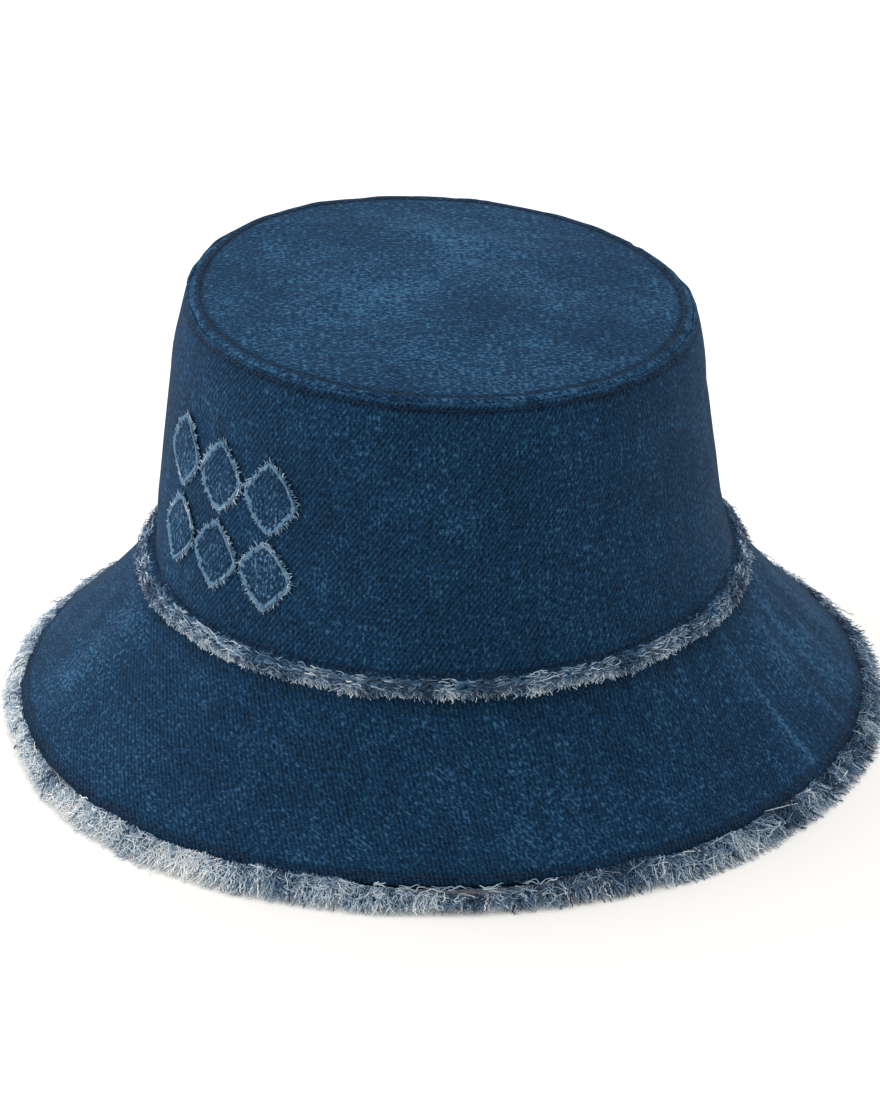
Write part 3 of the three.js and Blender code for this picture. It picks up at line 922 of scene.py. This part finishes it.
def yarn_ends(rng, sector, count, root, reach, out, tone, width=0.26, steps=12, spread=0.32,
              curl=0.5, clump=2.6, fluff=0.8, relief=None):
    """Yarn ends that hang off a raw edge over the brim, in one sector of the hat. root, reach and tone are
    functions of the angle round the hat; out is the height over the surface at the root and at the tip, in
    millimetres like width, curl, clump and fluff."""
    width, curl, clump, fluff = width * MM, curl * MM, clump * MM, fluff * MM
    low, high = out[0] * MM, out[1] * MM
    count = count // SECTORS
    phi = (sector + (np.arange(count) + rng.uniform(-0.5, 0.5, count)) / count) * TAU / SECTORS
    radius = float(BRIM.at(root(0.0))[0])
    t = np.linspace(0, 1, steps)[None, :]
    length = (reach(phi) * rng.uniform(0.6, 1.1, count))[:, None]
    start = (root(phi) - rng.uniform(0.0, 0.9, count) * MM)[:, None]
    lean = rng.normal(0, spread, (count, 1))
    phase, waves = rng.uniform(0, TAU, (count, 1)), rng.uniform(0.5, 1.4, (count, 1))
    curls = curl * rng.uniform(0.3, 1.2, (count, 1)) * t * np.sin(TAU * waves * t + phase)
    sideways = length * lean * t + curls
    kinks = TAU * length * t / (rng.uniform(1.5, 2.3, (count, 1)) * MM) + phase
    own = YARN_CRIMP * rng.uniform(0.4, 1.3, (count, 1)) * smoothstep(t, 0, 0.25)
    sideways = sideways + own * np.sin(kinks)
    arc = phi * radius
    bunch = (np.round(arc / clump) + rng.uniform(-0.2, 0.2, count)) * clump - arc
    sideways = sideways + (bunch * rng.uniform(0.1, 0.8, count))[:, None] * t**1.4
    s = start + length * t * (1 - 0.12 * lean**2)
    angle = phi[:, None] + sideways / radius
    loft = rng.normal(0, 0.45, (count, 1)) * t + 0.5 * rng.uniform(0, 1, (count, 1)) * np.sin(math.pi * t)
    lift = low + (high - low) * t + fluff * loft + own * np.cos(kinks)
    if relief is not None:
        lift = lift + relief(np.minimum(s, BRIM.cloth), angle) * (1 - t)
    paths = placed(BRIM, s, angle, lift)
    paths[:, :, 2] = np.maximum(paths[:, :, 2], FLOOR_GAP)
    thick = width * rng.uniform(0.7, 1.25, (count, 1)) * (1 - TIP_TAPER * t**2)
    # Each end is darker towards its root: painted shade inside the fringe.
    shade = (tone(phi) + rng.normal(0, 0.2, count))[:, None] + 0.34 * (t - 0.6)
    return tubes(paths, np.broadcast_to(thick, s.shape), tone=np.clip(shade, 0.02, 1))


def running_yarns(rng, sector, count, outline, place, out, length, tone, steps):
    """Yarns pulled half out of the cloth, which run along the edge in waves and loops. length is the least
    and the greatest, in millimetres like out."""
    out, low, high = out * MM, length[0] * MM, length[1] * MM
    count = count // SECTORS
    phi = (sector + rng.uniform(0, 1, count)) * TAU / SECTORS
    radius = float(outline.at(place(0.0, 0.5))[0])
    t = np.linspace(0, 1, steps)[None, :]
    arc = rng.uniform(low, high, (count, 1)) * (t - 0.5)
    level = place(phi, rng.uniform(0, 1, count))[:, None]
    begin = rng.uniform(0, 900, (count, 1))
    s = level + 0.9 * MM * noise(arc / (2.2 * MM) + begin, 0 * arc, 997, 51)
    arc = arc + 0.8 * MM * noise(arc / (1.9 * MM) + begin, 0 * arc + 3, 997, 52)
    lift = out + 0.6 * MM * noise(arc / (2.6 * MM) + begin, 0 * arc + 7, 997, 53)
    paths = placed(outline, s, phi[:, None] + arc / radius, lift)
    paths[:, :, 2] = np.maximum(paths[:, :, 2], FLOOR_GAP)
    thick = RUNNING_YARN * rng.uniform(0.7, 1.2, (count, 1)) * (0.45 + 0.55 * np.sin(math.pi * t) ** 0.3)
    shade = tone(phi) + rng.normal(0, 0.14, count)
    return tubes(paths, np.broadcast_to(thick, s.shape), tone=np.clip(shade, 0.02, 1))


FEWER = 1.0
SECTORS = 4  # each fringe is made as this many pieces round the hat
FLOOR_GAP = 0.3 * MM  # the middle of a yarn that lies on the floor
EDGE_NARROW = math.radians(53.5)  # the fringe is shortest about here
EDGE_SHORT = math.radians(-24)  # and it is short again here, beside the patches


def wavy(phi, cells, seed):
    """Noise round the hat, from -1 to 1."""
    phi = np.asarray(phi, float)
    return around(phi, cells, 0 * phi, seed)


def short_side(phi):
    return at_azimuth(phi, EDGE_SHORT, 19)


def edge_reach(phi):
    """The length of the brim's fringe, which was pulled out more in some places than in others."""
    narrow = at_azimuth(phi, EDGE_NARROW, 12)
    left = 0.6 * MM * at_azimuth(phi, math.radians(8), 42) - 4.4 * MM * short_side(phi)
    return 9.6 * MM + left - 4.9 * MM * narrow + 0.9 * MM * wavy(phi, 23, 61) + 0.5 * MM * wavy(phi, 61, 60)


def edge_root(phi):
    narrow = at_azimuth(phi, EDGE_NARROW, 12)
    narrow = narrow + 0.4 * short_side(phi)
    root = BRIM.cloth + 0.3 * MM + 3.4 * MM * narrow + 0.8 * MM * wavy(phi, 47, 62)
    return root + 0.5 * MM * wavy(phi, 131, 59)


def edge_tone(phi):
    return 0.20 + 0.50 * whiteness(phi) + 0.16 * wavy(phi, 61, 63) + 0.24 * wavy(phi, 290, 58)


def edge_place(phi, share):
    return BRIM.cloth + (0.2 + 6.4 * share) * MM + 0 * phi


def fringe(node, layers, extra=()):
    """The pieces of one fringe, a quarter of the way round each. layers makes the parts of one sector."""
    made = []
    for sector in range(SECTORS):
        parts = layers(sector) + (list(extra) if sector == 0 else [])
        piece = make_piece(f"{node}_yarn_{sector + 1}", parts, [loose_yarn, denim_patch])
        made.append(finish_piece(piece, "denim_fray", node))
    return made


STRAYS = 120  # yarns that stand clear of the rest


def stray_tone(phi):
    return 0.30 + 0.2 * wavy(phi, 400, 56)


def stray_reach(phi):
    return edge_reach(phi) * 1.15


def fuzz_reach(phi):
    return edge_reach(phi) * 0.6


def top_fringe(sector):
    rng = np.random.default_rng(50 + sector)
    ends, running, fuzz = int(3400 * FEWER), int(900 * FEWER), int(1900 * FEWER)
    return [
        yarn_ends(rng, sector, ends, edge_root, edge_reach, (-0.3, 0.2), edge_tone, relief=brim_relief),
        running_yarns(rng, sector, running, BRIM, edge_place, 0.4, (2, 8), edge_tone, 14),
        yarn_ends(rng, sector, fuzz, edge_root, fuzz_reach, (0.2, 0.9), edge_tone, 0.13, 8, 0.8, 1.0,
                  fluff=1.6),
        yarn_ends(rng, sector, STRAYS, edge_root, stray_reach, (0.6, 1.5), stray_tone, 0.17, 20, 0.7, 2.6,
                  fluff=2.4),
    ]


def under_fringe(sector):
    rng = np.random.default_rng(60 + sector)
    ends, running = int(2800 * FEWER), int(500 * FEWER)
    return [
        yarn_ends(rng, sector, ends, edge_root, edge_reach, (-UNDER_DEPTH / MM - 0.4, -0.6), edge_tone),
        running_yarns(rng, sector, running, BRIM, edge_place, -0.7, (3, 10), edge_tone, 14),
    ]


edge_top = fringe("brim_edge_fray_top", top_fringe)
edge_under = fringe("brim_edge_fray_under", under_fringe)


def allowance(start, middle, out, end):
    """The line of a seam allowance, which turns out of the base seam and lies over the brim."""
    stop = BRIM.at(end, out)
    r, z = bezier([start, middle, (float(stop[0]), float(stop[1]))], np.linspace(0, 1, 40))
    return Outline(r, z).flipped()


ALLOWANCE = 0.8 * MM  # the thickness of both allowances
HEM = allowance((91.6 * MM, 55.3 * MM), (94.6 * MM, 55.6 * MM), 2.0 * MM, 3.2 * MM)
INNER = allowance((92.2 * MM, 53.6 * MM), (94.2 * MM, 54.4 * MM), 1.0 * MM, 3.4 * MM)


def ruffle(s, phi):
    """Both allowances are stretched at their raw edge, so they ripple."""
    loose = smoothstep(s, 1.0 * MM, 3.5 * MM)
    return loose * MM * (0.45 * around(phi, 150, s * 0, 91) + 0.35 * around(phi, 67, s * 0, 92))


def worn_edge(s, phi):
    return -0.1 + 0.35 * smoothstep(s, 1.5 * MM, 4.5 * MM) + 0.3 * around(phi, 260, s / (1.2 * MM), 93)


def seam_tone(phi):
    left = at_azimuth(phi, math.radians(-10), 30)
    return 0.26 + 0.10 * left + 0.18 * wavy(phi, 83, 64) + 0.14 * wavy(phi, 260, 57)


def inner_tone(phi):
    return seam_tone(phi) + 0.2


def seam_reach(phi):
    return FRAY_LENGTH * (0.62 + 0.10 * wavy(phi, 41, 65))


def seam_root(phi):
    return 2.6 * MM + 0.4 * MM * wavy(phi, 97, 66)


def hem_place(phi, share):
    return HEM.length * (0.42 + 0.53 * share) + 0 * phi


def inner_reach(phi):
    return seam_reach(phi) * 1.2


def hem_fringe(sector):
    rng = np.random.default_rng(70 + sector)
    ends, running, fuzz = int(2400 * FEWER), int(2600 * FEWER), int(1900 * FEWER)
    return [
        yarn_ends(rng, sector, ends, seam_root, seam_reach, (1.9, 1.7), seam_tone, 0.24, 9,
                  curl=0.4, clump=1.7),
        running_yarns(rng, sector, running, HEM, hem_place, 0.25, (1.5, 4.5), seam_tone, 9),
        yarn_ends(rng, sector, fuzz, seam_root, seam_reach, (2.2, 2.6), seam_tone, 0.14, 7, 0.9, 0.8,
                  fluff=1.2),
    ]


def inner_fringe(sector):
    rng = np.random.default_rng(80 + sector)
    ends = int(1700 * FEWER)
    return [
        yarn_ends(rng, sector, ends, seam_root, inner_reach, (0.9, 0.7), inner_tone, 0.24, 9,
                  curl=0.4, clump=1.7),
    ]


def allowance_cloth(outline):
    made = ring_cloth(outline, 0, ALLOWANCE, COLUMNS, 12, ruffle, worn_edge, along_strip)
    made["material"] = 1
    return made


hem_pieces = fringe("crown_hem_fray", hem_fringe, [allowance_cloth(HEM)])
inner_pieces = fringe("brim_inner_fray", inner_fringe, [allowance_cloth(INNER)])


# ---- raw-edge patches on the front ----

PATCH_CORNER = 1.25  # 1 is a sharp lozenge, 2 an ellipse
SEWN = 0.80  # how far out a patch is sewn down, as a share of its size


def patch_edge(theta):
    """Half the patch's size in the direction theta."""
    across = np.abs(np.cos(theta) / (PATCH_WIDTH / 2)) ** PATCH_CORNER
    up = np.abs(np.sin(theta) / (PATCH_HEIGHT / 2)) ** PATCH_CORNER
    return (across + up) ** (-1 / PATCH_CORNER)


def patch_place(row, column):
    """The patch's middle: its distance up the band, and its angle."""
    middle = PATCH_MIDDLE + PATCH_PITCH_Z * ((PATCH_ROWS - 1) / 2 - row)
    across = PATCH_PITCH_X * (column - (PATCH_COLUMNS - 1) / 2)
    return float(BAND.height(middle)), across / float(band_radius(np.array(middle)))


def on_patch(s0, phi0, a, b, out):
    """Points on a patch: a across and b up from its middle, both in metres."""
    s = s0 + b
    r, _ = BAND.at(s)
    phi = phi0 + a / r
    return placed(BAND, s, phi, band_relief(s, phi) + out)


def make_patch(number, row, column):
    rng = np.random.default_rng(100 + number)
    s0, phi0 = patch_place(row, column)
    rings, columns = 16, 112
    theta = (np.arange(columns) / columns * TAU)[None, :]
    share = (np.linspace(1, 0, rings + 1) ** 0.8)[:, None]
    share, theta = np.broadcast_arrays(share, theta)
    ragged = 1 + 0.022 * noise(theta / TAU * 40, 0 * theta, 40, 110 + number) * share**6
    size = patch_edge(theta) * share * ragged
    a, b = size * np.cos(theta), size * np.sin(theta)
    edge = smoothstep(share, 0.8, 1.0)
    curl = (0.25 + 0.45 * noise(theta / TAU * 9, 0 * theta, 9, 130 + number)) * MM * edge
    pressed = -0.28 * MM * bump(share, 0.80, 0.05)
    pillow = 0.25 * MM * (1 - share**2)
    pillow = pillow + 0.15 * MM * noise(a / (4 * MM) + 30, b / (4 * MM) + 30, 61, 150 + number)
    top = GAP + 0.75 * MM + pillow + pressed + np.maximum(curl, -0.1 * MM)
    outer = on_patch(s0, phi0, a, b, top)
    inner = on_patch(s0, phi0, a, b, top - 0.75 * MM)
    cloth = np.stack([a + number * 0.05, b], axis=-1)
    uneven = noise(theta / TAU * 70, share * 30, 70, 160 + number)
    wear = smoothstep(share, 0.76, 0.96) * (0.55 + 0.45 * uneven) + 0.02
    body = merged_pole(shell(outer, inner, cloth, wear, pole=True), rings, columns)

    ends = 170
    angle = (np.arange(ends) + rng.uniform(-0.5, 0.5, ends)) / ends * TAU
    root = patch_edge(angle) * rng.uniform(0.88, 0.99, ends)
    away = np.stack([np.cos(angle) / PATCH_WIDTH, np.sin(angle) / PATCH_HEIGHT])
    away = np.arctan2(away[1], away[0]) + rng.normal(0, 0.55, ends)
    t = np.linspace(0, 1, 5)[None, :]
    reach = rng.uniform(0.9, 2.3, ends)[:, None] * MM
    wave = 0.25 * MM * np.sin(TAU * t + rng.uniform(0, TAU, (ends, 1))) * t
    a = (root * np.cos(angle))[:, None] + reach * t * np.cos(away)[:, None] - wave * np.sin(away)[:, None]
    b = (root * np.sin(angle))[:, None] + reach * t * np.sin(away)[:, None] + wave * np.cos(away)[:, None]
    out = 0.85 * MM + rng.uniform(-0.35, 0.5, (ends, 1)) * MM * t
    thick = 0.17 * MM * (1 - 0.6 * t**2) * rng.uniform(0.7, 1.3, (ends, 1))
    tone = 0.40 + rng.normal(0, 0.16, ends)
    short = tubes(on_patch(s0, phi0, a, b, out), thick, tone=np.clip(tone, 0.1, 1))

    rounds = 44
    t = np.linspace(-0.5, 0.5, 9)[None, :]
    angle = rng.uniform(0, TAU, (rounds, 1)) + t * rng.uniform(0.25, 0.6, (rounds, 1))
    size = patch_edge(angle) * (0.96 + 0.05 * rng.normal(0, 1, (rounds, 1)) * 0.6)
    size = size + 0.3 * MM * noise(angle * 9 + 20, 0 * angle, 211, 170 + number)
    a, b = size * np.cos(angle), size * np.sin(angle)
    out = 1.05 * MM + 0.2 * MM * noise(angle * 11 + 20, 0 * angle, 211, 180 + number)
    tone = np.clip(0.42 + rng.normal(0, 0.14, rounds), 0, 1)
    lying = tubes(on_patch(s0, phi0, a, b, out), np.full(a.shape, 0.15 * MM), tone=tone)

    # The stitched round, just inside the raw edge.
    theta = np.linspace(0, TAU, 400)
    x, y = patch_edge(theta) * SEWN * np.cos(theta), patch_edge(theta) * SEWN * np.sin(theta)
    steps = np.hypot(np.diff(x), np.diff(y))
    run = np.concatenate([[0], np.cumsum(steps)])

    def sewn(along, high):
        return on_patch(s0, phi0, np.interp(along, run, x), np.interp(along, run, y), 0.85 * MM + high)

    row_of_stitches = stitches(sewn, float(steps.sum()), radius=0.2 * MM)
    node = f"patch_{number}"
    cloth_piece = panel(f"{node}_cloth", node, "denim_patch", denim_patch, body)
    fray_piece = finish_piece(make_piece(f"{node}_fray", [short, lying], [loose_yarn]), "denim_fray")
    sewing = finish_piece(make_piece(f"{node}_stitching", [row_of_stitches], [navy_thread]), "navy_thread")


for row in range(PATCH_ROWS):
    for column in range(PATCH_COLUMNS):
        make_patch(row * PATCH_COLUMNS + column + 1, row, column)


# ---- inside the crown ----

def lining_relief(s, phi):
    """The lining is loose: it hangs in soft upright folds, always inwards of its outline."""
    folds = 0.5 + 0.5 * around(phi, 34, s / (40 * MM), 71)
    middle = np.sin(np.pi * np.clip(s / BAND.length, 0, 1))
    return -0.9 * MM * folds * middle - 0.25 * MM + back_fold(phi, BAND_MIDDLE, 0.7 * MM)


def tip_lining_relief(s, phi):
    x, y = on_disc(s, phi)
    soft = 0.5 + 0.5 * blotches(x, y, 17, 72)
    return -1.3 * MM * soft * smoothstep(s, 0, 14 * MM) - 0.25 * MM


def sweatband_relief(s, phi):
    gathers = 0.5 + 0.5 * around(phi, 52, s / (25 * MM), 73)
    return -0.35 * MM * gathers - 0.5 * MM


INNER_COLUMNS = COLUMNS * 3 // 4
LINING_LENGTH = BAND.length - 1.4 * MM
TAPE = SWEATBAND * 0.8

side_lining = panel(
    "side_lining_cloth", "side_lining", "cotton_lining", lining_cotton,
    ring_cloth(BAND, LINING_DEPTH, LINING, INNER_COLUMNS, 40, lining_relief, no_wear, along_strip, 0,
               LINING_LENGTH),
)
tip_lining = panel(
    "tip_lining_cloth", "tip_lining", "cotton_lining", lining_cotton,
    disc_cloth(LINING_DEPTH, LINING, INNER_COLUMNS, 40, 1.8 * MM, tip_lining_relief, no_wear),
)
sweatband = panel(
    "sweatband_tape", "sweatband", "twill_sweatband", sweatband_twill,
    ring_cloth(BAND, SWEATBAND_DEPTH, TAPE, INNER_COLUMNS, 24, sweatband_relief, no_wear, along_strip, 0,
               SWEATBAND_HEIGHT),
)


def sweatband_face(s, phi):
    return sweatband_relief(s, phi) - SWEATBAND_DEPTH - TAPE


row = stitch_ring(BAND, 3 * MM, sweatband_face, -0.12 * MM)
stitched("sweatband_stitch", row, "lining_thread", lining_thread)


def blank_label(node, size, azimuth, middle, face):
    """A label with folded ends and no marking, laid on an inner face."""
    (width, height), rows, columns = size, 14, 44
    a = np.linspace(-width / 2, width / 2, columns)[None, :]
    b = np.linspace(-height / 2, height / 2, rows)[:, None]
    a, b = np.broadcast_arrays(a, b)
    s = middle + b
    r, _ = BAND.at(s)
    phi = azimuth + a / r
    fold = 0.12 * MM * bump(np.abs(a), width / 2, 1.2 * MM)
    fold = fold + 0.06 * MM * noise(a / (6 * MM) + 20, b / (5 * MM) + 20, 61, 81)
    lift = face(s, phi) - 0.12 * MM - fold
    outer = placed(BAND, s, phi, lift)
    inner = placed(BAND, s, phi, lift - 0.35 * MM)
    made = shell(outer, inner, np.stack([a, b], axis=-1), 0 * a)
    return panel(f"{node}_blank", node, "label_cloth", label_satin, made)


def lining_face(s, phi):
    return lining_relief(s, phi) - LINING_DEPTH - LINING


WOVEN_LABEL, CARE_LABEL = (44 * MM, 16 * MM), (14 * MM, 26 * MM)
woven_label = blank_label("woven_label", WOVEN_LABEL, BACK, 17 * MM, sweatband_face)
care_label = blank_label("care_label", CARE_LABEL, math.radians(112), SWEATBAND_HEIGHT + 15 * MM, lining_face)


# ---- how each cloth was cut ----


def ring_cut(outline, low=0.0, high=None):
    """The flat piece that a ring of cloth is cut as, from its cone: width, length and area."""
    high = outline.length if high is None else high
    s = np.linspace(low, high, 50)
    r = outline.at(s)[0]
    slope = abs(r[-1] - r[0]) / (high - low)
    far = r.max() / slope
    near = far - (high - low)
    half = math.pi * slope
    width = 2 * far * math.sin(min(half, math.pi / 2))
    length = far - (near if half < math.pi / 2 else far) * math.cos(half)
    return (width, length), float(TAU * r.mean() * (high - low))


band_rows = ["tip_topstitch_lower", "crown_brim_seam_stitch"]
band_rows += ["crown_back_topstitch_left", "crown_back_topstitch_right"]
ring_cut(BAND)
ring_cut(BRIM, 0, BRIM.cloth)
ring_cut(BRIM, 0, BRIM.cloth)
ring_cut(BRIM, *STIFFENED)
ring_cut(BAND, 0, LINING_LENGTH)
TAU * BAND.at(0.0)[0]

# ---- floor, light and camera ----


def set_stage():
    n = Nodes("floor")
    n.finish(srgb(250, 247, 242), 1.0)
    n.shader.inputs["Emission Color"].default_value = (1, 1, 1, 1)
    n.shader.inputs["Emission Strength"].default_value = 0.08
    size = 6.0
    points = np.array([[-size, -size, 0], [size, -size, 0], [size, size, 0], [-size, size, 0]])
    floor = make_piece("floor", [part(points, [[0, 1, 2, 3]], smooth=False)], [n.material])
    world = bpy.data.worlds.new("studio")
    world.use_nodes = True
    inputs = world.node_tree.nodes["Background"].inputs
    inputs["Color"].default_value = (1, 1, 1, 1)
    inputs["Strength"].default_value = 0.64
    bpy.context.scene.world = world


def direction(azimuth, elevation):
    a, e = azimuth, elevation
    return Vector((math.sin(a) * math.cos(e), -math.cos(a) * math.cos(e), math.sin(e)))


LIGHT_DISTANCE = 1.3
AIM_HEIGHT = 0.07  # the lights face this height over the floor
LIGHTS = [
    # azimuth from the camera's, towards its right, elevation, size and power
    ("top", 180, 66, 0.9, 7.0),
    ("left", -80, 20, 0.8, 5.2),
    ("left_back", -120, 35, 0.8, 3.5),
    ("right_back", 110, 35, 0.8, 2.2),
]


def add_light(name, azimuth, elevation, size, power):
    """A square soft light that faces the hat."""
    way = direction(VIEW_AZIMUTH + math.radians(azimuth), math.radians(elevation))
    data = bpy.data.lights.new(name, "AREA")
    data.shape = "SQUARE"
    data.size = size
    data.energy = power
    light = bpy.data.objects.new(name, data)
    light.location = way * LIGHT_DISTANCE + Vector((0, 0, AIM_HEIGHT))
    light.rotation_euler = (-way).to_track_quat("-Z", "Y").to_euler()
    bpy.context.scene.collection.objects.link(light)


LENS, SENSOR = 182.3, 36
CAMERA_DISTANCE = 1.775


def add_camera():
    """A long lens, from above the brim, past the front's left."""
    back = direction(VIEW_AZIMUTH, VIEW_ELEVATION)
    right = Vector((math.cos(VIEW_AZIMUTH), math.sin(VIEW_AZIMUTH), 0))
    data = bpy.data.cameras.new("camera")
    data.sensor_width = SENSOR
    data.lens = LENS
    data.clip_end = 20
    camera = bpy.data.objects.new("camera", data)
    target = right * -1.27 * MM + Vector((0, 0, 52.4 * MM))
    camera.location = target + back * CAMERA_DISTANCE
    camera.rotation_euler = back.to_track_quat("Z", "Y").to_euler()
    bpy.context.scene.collection.objects.link(camera)
    bpy.context.scene.camera = camera


set_stage()
for light in LIGHTS:
    add_light(*light)
add_camera()
bpy.context.scene.view_settings.view_transform = "Standard"
